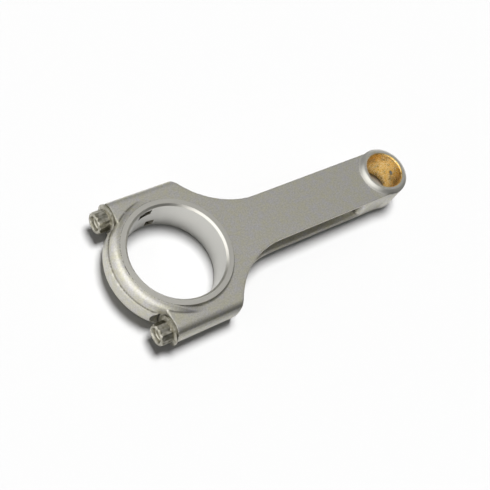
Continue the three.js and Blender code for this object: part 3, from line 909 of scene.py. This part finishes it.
def screw_thread(screws):
    """A real thread: one turn of its profile, screwed along the shank, with chamfered ends."""
    pitch, crest = screws.pitch, screws.thread / 2
    root = crest - THREAD_DEPTH * pitch
    start = TIP_X - screws.threaded - 2 * pitch
    teeth = int((screws.threaded + 4 * pitch) / pitch)
    line = [(start, 0), (start, root)]
    for tooth in range(teeth):
        x = start + tooth * pitch
        line += [(x + CREST_FROM * pitch, crest), (x + CREST_TO * pitch, crest), (x + pitch, root)]
    line.append((start + teeth * pitch, 0))
    thread = draw("screw_thread", screw_section(SCREW_Y), *line)
    bpy.ops.transform.translate(value=-at(0, SCREW_Y))
    close_edit()
    apply_modifier(thread, "SCREW", axis="X", angle=2 * pi, screw_offset=pitch, iterations=1,
                   steps=THREAD_STEPS, render_steps=THREAD_STEPS, use_merge_vertices=True,
                   merge_threshold=MERGE, use_normal_calculate=True)
    edit(thread)
    bpy.ops.transform.translate(value=at(0, SCREW_Y))
    bpy.ops.mesh.remove_doubles(threshold=MERGE)
    bpy.ops.mesh.select_all(action="DESELECT")
    bpy.ops.mesh.select_non_manifold()
    bpy.ops.mesh.fill_holes(sides=0)
    outward(thread)
    x0, x1, ease = TIP_X - screws.threaded, TIP_X, THREAD_EASE * pitch
    envelope = turned_screw("thread_ends", SCREW_Y, (x0, 0), (x0, crest - ease), (x0 + ease, crest),
                            (x1 - ease, crest), (x1, crest - ease), (x1, 0))
    return keep(thread, envelope)


def dish_cutter(screws):
    """The hollow in the head, with a rounded mouth and floor."""
    r, mouth, ease, soft = screws.dish / 2, screws.dish / 2 + DISH_EASE, DISH_EASE, DISH_FILLET
    floor = HEAD_X + screws.dish_depth
    return turned_screw("dish_cutter", SCREW_Y, (HEAD_X - PAST, 0), (HEAD_X - PAST, mouth),
                        (HEAD_X, mouth), (HEAD_X + ease, r), (floor - soft, r - ease),
                        Arc((floor - soft, r - ease - soft), -90, FILLET_STEPS), (floor, 0))


def make_screw(screws, name):
    """One cap screw, in the left hole."""
    screw = screw_body(screws, name)
    join(screw, screw_head(screws))
    join(screw, screw_thread(screws))
    return cut(screw, dish_cutter(screws))


# ---- Stage settings --------------------------------------------------------------------------

NEAR_CARD = (-88, 10)         # azimuth and elevation of its middle, degrees
NEAR_CORE = 46                # degrees from its middle that are evenly bright
NEAR_EDGE = 76                # degrees from its middle where it has faded
FAR_CARD = (112, 44)          # the same for the card on the far side
FAR_CORE = 20
FAR_EDGE = 80
KEY_AT = (145, 78)            # azimuth and elevation of the key light, degrees
KEY_SPREAD = 22               # degrees across, which softens its shadow
FILL_SPREAD = 150             # the same for the fill light
# painted shade: in reflections only, the floor turns dark from FLOOR_NEAR to FLOOR_FAR on this side
FLOOR_FAR_SIDE = (0.15, -0.99, 0.0)          # the way the floor fades, as metal sees it
FLOOR_NEAR = 38 * MM          # it fades from here
FLOOR_FAR = 70 * MM           # to here, on that side
FLOOR_SIZE = 12               # metres, so that no edge of it shows
SENSOR = 36                   # the camera's sensor, in mm
NEAR_CLIP = 0.01
WHITE = (1, 1, 1, 1)


# ---- Operators -------------------------------------------------------------------------------


class CONROD_OT_forging(bpy.types.Operator):
    """Model the rod forging with its fork, beam and eye"""

    bl_idname = "conrod.forging"
    bl_label = "Rod Forging"

    def execute(self, context):
        scene = context.scene
        sizes, colours = scene.conrod_forging, scene.conrod_colours
        steels = [shot_peened_steel(colours), machined_steel("bored_steel", colours.bored, 0),
                  machined_steel("ground_thrust_steel", colours.ground, 0),
                  # painted shade: this darker slot finish stands in for the shade inside the tang slots
                  oiled_alloy_steel("slot_painted_shade_steel", colours.slot, colours.slot_painted_shade, 0.5),
                  machined_steel("milled_eye_steel", colours.ground, PIN_X)]
        rod = make_rod(sizes, scene.conrod_screws)
        finish(rod, "rod", "rod_forging", steels, rod_finish_at(sizes))
        return {"FINISHED"}


class CONROD_OT_cap(bpy.types.Operator):
    """Model the bearing cap with its rib and screw seats"""

    bl_idname = "conrod.cap"
    bl_label = "Bearing Cap"

    def execute(self, context):
        scene = context.scene
        sizes, cap = scene.conrod_forging, scene.conrod_cap
        steels = [bpy.data.materials[name] for name in
                  ("shot_peened_steel", "bored_steel", "ground_thrust_steel", "slot_painted_shade_steel")]
        piece = make_cap(sizes, cap, scene.conrod_screws)
        finish(piece, "cap", "bearing_cap", steels, cap_finish_at(sizes, cap))
        return {"FINISHED"}


class CONROD_OT_bushing(bpy.types.Operator):
    """Model the bronze bushing of the wrist pin"""

    bl_idname = "conrod.bushing"
    bl_label = "Pin Bushing"

    def execute(self, context):
        scene = context.scene
        bush = make_bushing(scene.conrod_forging)
        finish(bush, "rod", "pin_bushing", [honed_bronze(scene.conrod_colours)])
        return {"FINISHED"}


class CONROD_OT_screws(bpy.types.Operator):
    """Model the two 12-point cap screws"""

    bl_idname = "conrod.screws"
    bl_label = "Cap Screws"

    def execute(self, context):
        colours = context.scene.conrod_colours
        steel = oiled_alloy_steel("oiled_alloy_steel", colours.screw, colours.screw_film, 0.34)
        left = make_screw(context.scene.conrod_screws, "cap_screw_left_model")
        right = copied(left, "cap_screw_right_model", TO_RIGHT)
        finish(left, "left_screw", "cap_screw_left", [steel])
        finish(right, "right_screw", "cap_screw_right", [steel])
        return {"FINISHED"}


class CONROD_OT_sleeves(bpy.types.Operator):
    """Model the two dowel sleeves between fork and cap"""

    bl_idname = "conrod.sleeves"
    bl_label = "Dowel Sleeves"

    def execute(self, context):
        colours = context.scene.conrod_colours
        steel = oiled_alloy_steel("ground_sleeve_steel", colours.sleeve, colours.sleeve_film, 0.3)
        left = make_sleeve("dowel_sleeve_left_model")
        right = copied(left, "dowel_sleeve_right_model", TO_RIGHT)
        finish(left, "rod", "dowel_sleeve_left", [steel])
        finish(right, "rod", "dowel_sleeve_right", [steel])
        return {"FINISHED"}


class StageSettings(bpy.types.PropertyGroup):
    """Camera and light."""

    azimuth: FloatProperty(name="Azimuth", description="Direction the camera stands in",
                           default=radians(-64.52), subtype="ANGLE")
    elevation: FloatProperty(name="Elevation", description="Height of the camera above the horizon",
                             default=radians(55.25), subtype="ANGLE")
    roll: FloatProperty(name="Roll", description="Turn of the camera about its line of sight",
                        default=radians(37.83), subtype="ANGLE")
    distance: FloatProperty(name="Distance", description="Camera to the point it looks at",
                            default=0.5674, unit="LENGTH")
    aim_x: FloatProperty(name="Aim along", description="Point looked at, along the rod from the crank bore",
                         default=46.0 * MM, unit="LENGTH")
    aim_y: FloatProperty(name="Aim across", description="Point looked at, across the rod",
                         default=-7.77 * MM, unit="LENGTH")
    lens: FloatProperty(name="Lens", description="Focal length on a 36 mm sensor", default=72.44,
                        unit="CAMERA")
    key: FloatProperty(name="Key light", description="Strength of the overhead soft light", default=6.2)
    key_gloss: FloatProperty(name="Key gloss", description="Part of the key light that shows on metal",
                             default=0.2)
    fill: FloatProperty(name="Fill light", description="Strength of the wide fill light", default=0.7)
    near_card: FloatProperty(name="Near card", description="Brightness of the card on the near side",
                               default=1.7)
    far_card: FloatProperty(name="Far card", description="Brightness of the card on the far side",
                            default=0.355)
    room: FloatProperty(name="Room light", description="Brightness of the rest of the room", default=0.12)


class CONROD_OT_stage(bpy.types.Operator):
    """Set up the floor, the soft light and the camera"""

    bl_idname = "conrod.stage"
    bl_label = "Stage"

    def execute(self, context):
        stage = context.scene.conrod_stage
        lay_floor(context.scene.conrod_colours)
        light_room(context.scene, stage)
        hang_lights(stage)
        set_camera(context.scene, stage)
        return {"FINISHED"}


def lay_floor(colours):
    """A plain floor under the rod."""
    deselect()
    bpy.ops.mesh.primitive_plane_add(size=FLOOR_SIZE)
    floor = bpy.context.object
    floor.name = "studio_floor"
    floor.data.materials.append(floor_paint(colours))
    deselect()


def light_room(scene, stage):
    """A dim room with a bright card on the near side and a duller one on the far side. Only
    metal sees it; the floor is lit by the lights alone, in front of a white backdrop."""
    world = bpy.data.worlds.new("soft_room")
    world.use_nodes = True
    scene.world = world
    world.cycles_visibility.diffuse = False
    tree = world.node_tree
    tree.nodes.clear()
    direction = add(tree, "ShaderNodeTexCoord").outputs["Generated"]
    light = stage.room
    for middle, core, edge, strength in ((NEAR_CARD, NEAR_CORE, NEAR_EDGE, stage.near_card),
                                         (FAR_CARD, FAR_CORE, FAR_EDGE, stage.far_card)):
        facing = add(tree, "ShaderNodeVectorMath", {0: direction, 1: towards(*middle)},
                     operation="DOT_PRODUCT")
        card = add(tree, "ShaderNodeMapRange", {
            "Value": facing.outputs["Value"], "From Min": cos(radians(edge)),
            "From Max": cos(radians(core)), "To Max": strength}, interpolation_type="SMOOTHSTEP")
        light = add(tree, "ShaderNodeMath", {0: card.outputs["Result"], 1: light},
                    operation="ADD").outputs["Value"]
    room = add(tree, "ShaderNodeBackground", {"Color": WHITE, "Strength": light})
    backdrop = add(tree, "ShaderNodeBackground", {"Color": WHITE, "Strength": 1.0})
    seen = add(tree, "ShaderNodeLightPath")
    mix = add(tree, "ShaderNodeMixShader", {0: seen.outputs["Is Camera Ray"],
                                            1: room.outputs["Background"],
                                            2: backdrop.outputs["Background"]})
    add(tree, "ShaderNodeOutputWorld", {"Surface": mix.outputs["Shader"]})
    scene.view_settings.view_transform = "Standard"


def towards(azimuth, elevation):
    """Unit vector to a place in the room: azimuth 0 is on the -Y side and 90 on the +X side."""
    az, el = radians(azimuth), radians(elevation)
    return Vector((sin(az) * cos(el), -cos(az) * cos(el), sin(el)))


def hang_lights(stage):
    """An overhead soft light, of which metal sees only a share, as through a polariser, and a
    very wide one that fills the shadows a little."""
    for name, strength, spread, on_metal in (("key_light", stage.key, KEY_SPREAD, False),
                                             ("key_gloss_light", stage.key_gloss, KEY_SPREAD, True),
                                             ("fill_light", stage.fill, FILL_SPREAD, False)):
        data = bpy.data.lights.new(name, "SUN")
        data.energy = strength
        data.angle = radians(spread)
        light = bpy.data.objects.new(name, data)
        bpy.context.collection.objects.link(light)
        light.rotation_euler = towards(*KEY_AT).to_track_quat("Z", "Y").to_euler()
        light.visible_glossy = on_metal


def set_camera(scene, stage):
    """Stands the camera at its angle, rolled about its line of sight."""
    back = towards(degrees(stage.azimuth), degrees(stage.elevation))
    level = (-back).cross(Vector((0, 0, 1))).normalized()
    upright = level.cross(-back)
    right = level * cos(stage.roll) + upright * sin(stage.roll)
    up = upright * cos(stage.roll) - level * sin(stage.roll)
    data = bpy.data.cameras.new("camera")
    data.lens = stage.lens
    data.sensor_width = SENSOR
    data.clip_start = NEAR_CLIP
    camera = bpy.data.objects.new("camera", data)
    bpy.context.collection.objects.link(camera)
    place = Matrix((right, up, back)).transposed().to_4x4()
    place.translation = at(stage.aim_x, stage.aim_y) + back * stage.distance
    camera.matrix_world = place
    scene.camera = camera


# ---- Panel and registration ------------------------------------------------------------------

GROUPS = {
    "conrod_forging": RodForgingSizes,
    "conrod_cap": CapSizes,
    "conrod_screws": ScrewSizes,
    "conrod_colours": FinishColours,
    "conrod_stage": StageSettings,
}
OPERATORS = (CONROD_OT_stage, CONROD_OT_forging, CONROD_OT_cap, CONROD_OT_bushing, CONROD_OT_screws,
             CONROD_OT_sleeves)


class CONROD_PT_panel(bpy.types.Panel):
    """Sidebar panel with every piece's operator and its sizes"""

    bl_label = "Connecting Rod"
    bl_idname = "CONROD_PT_panel"
    bl_space_type = "VIEW_3D"
    bl_region_type = "UI"
    bl_category = "Connecting Rod"

    def draw(self, context):
        for operator in OPERATORS:
            self.layout.operator(operator.bl_idname)
        for name, group in GROUPS.items():
            box = self.layout.box()
            box.label(text=group.__doc__)
            for field in group.__annotations__:
                box.prop(getattr(context.scene, name), field)


def register():
    for cls in (*GROUPS.values(), *OPERATORS, CONROD_PT_panel):
        bpy.utils.register_class(cls)
    for name, group in GROUPS.items():
        setattr(bpy.types.Scene, name, PointerProperty(type=group))


def unregister():
    for name in GROUPS:
        delattr(bpy.types.Scene, name)
    for cls in (CONROD_PT_panel, *reversed(OPERATORS), *GROUPS.values()):
        bpy.utils.unregister_class(cls)


def main():
    """Builds the whole connecting rod."""
    register()
    bpy.ops.conrod.stage()
    bpy.ops.conrod.forging()
    bpy.ops.conrod.cap()
    bpy.ops.conrod.bushing()
    bpy.ops.conrod.screws()
    bpy.ops.conrod.sleeves()


if __name__ == "__main__":
    main()
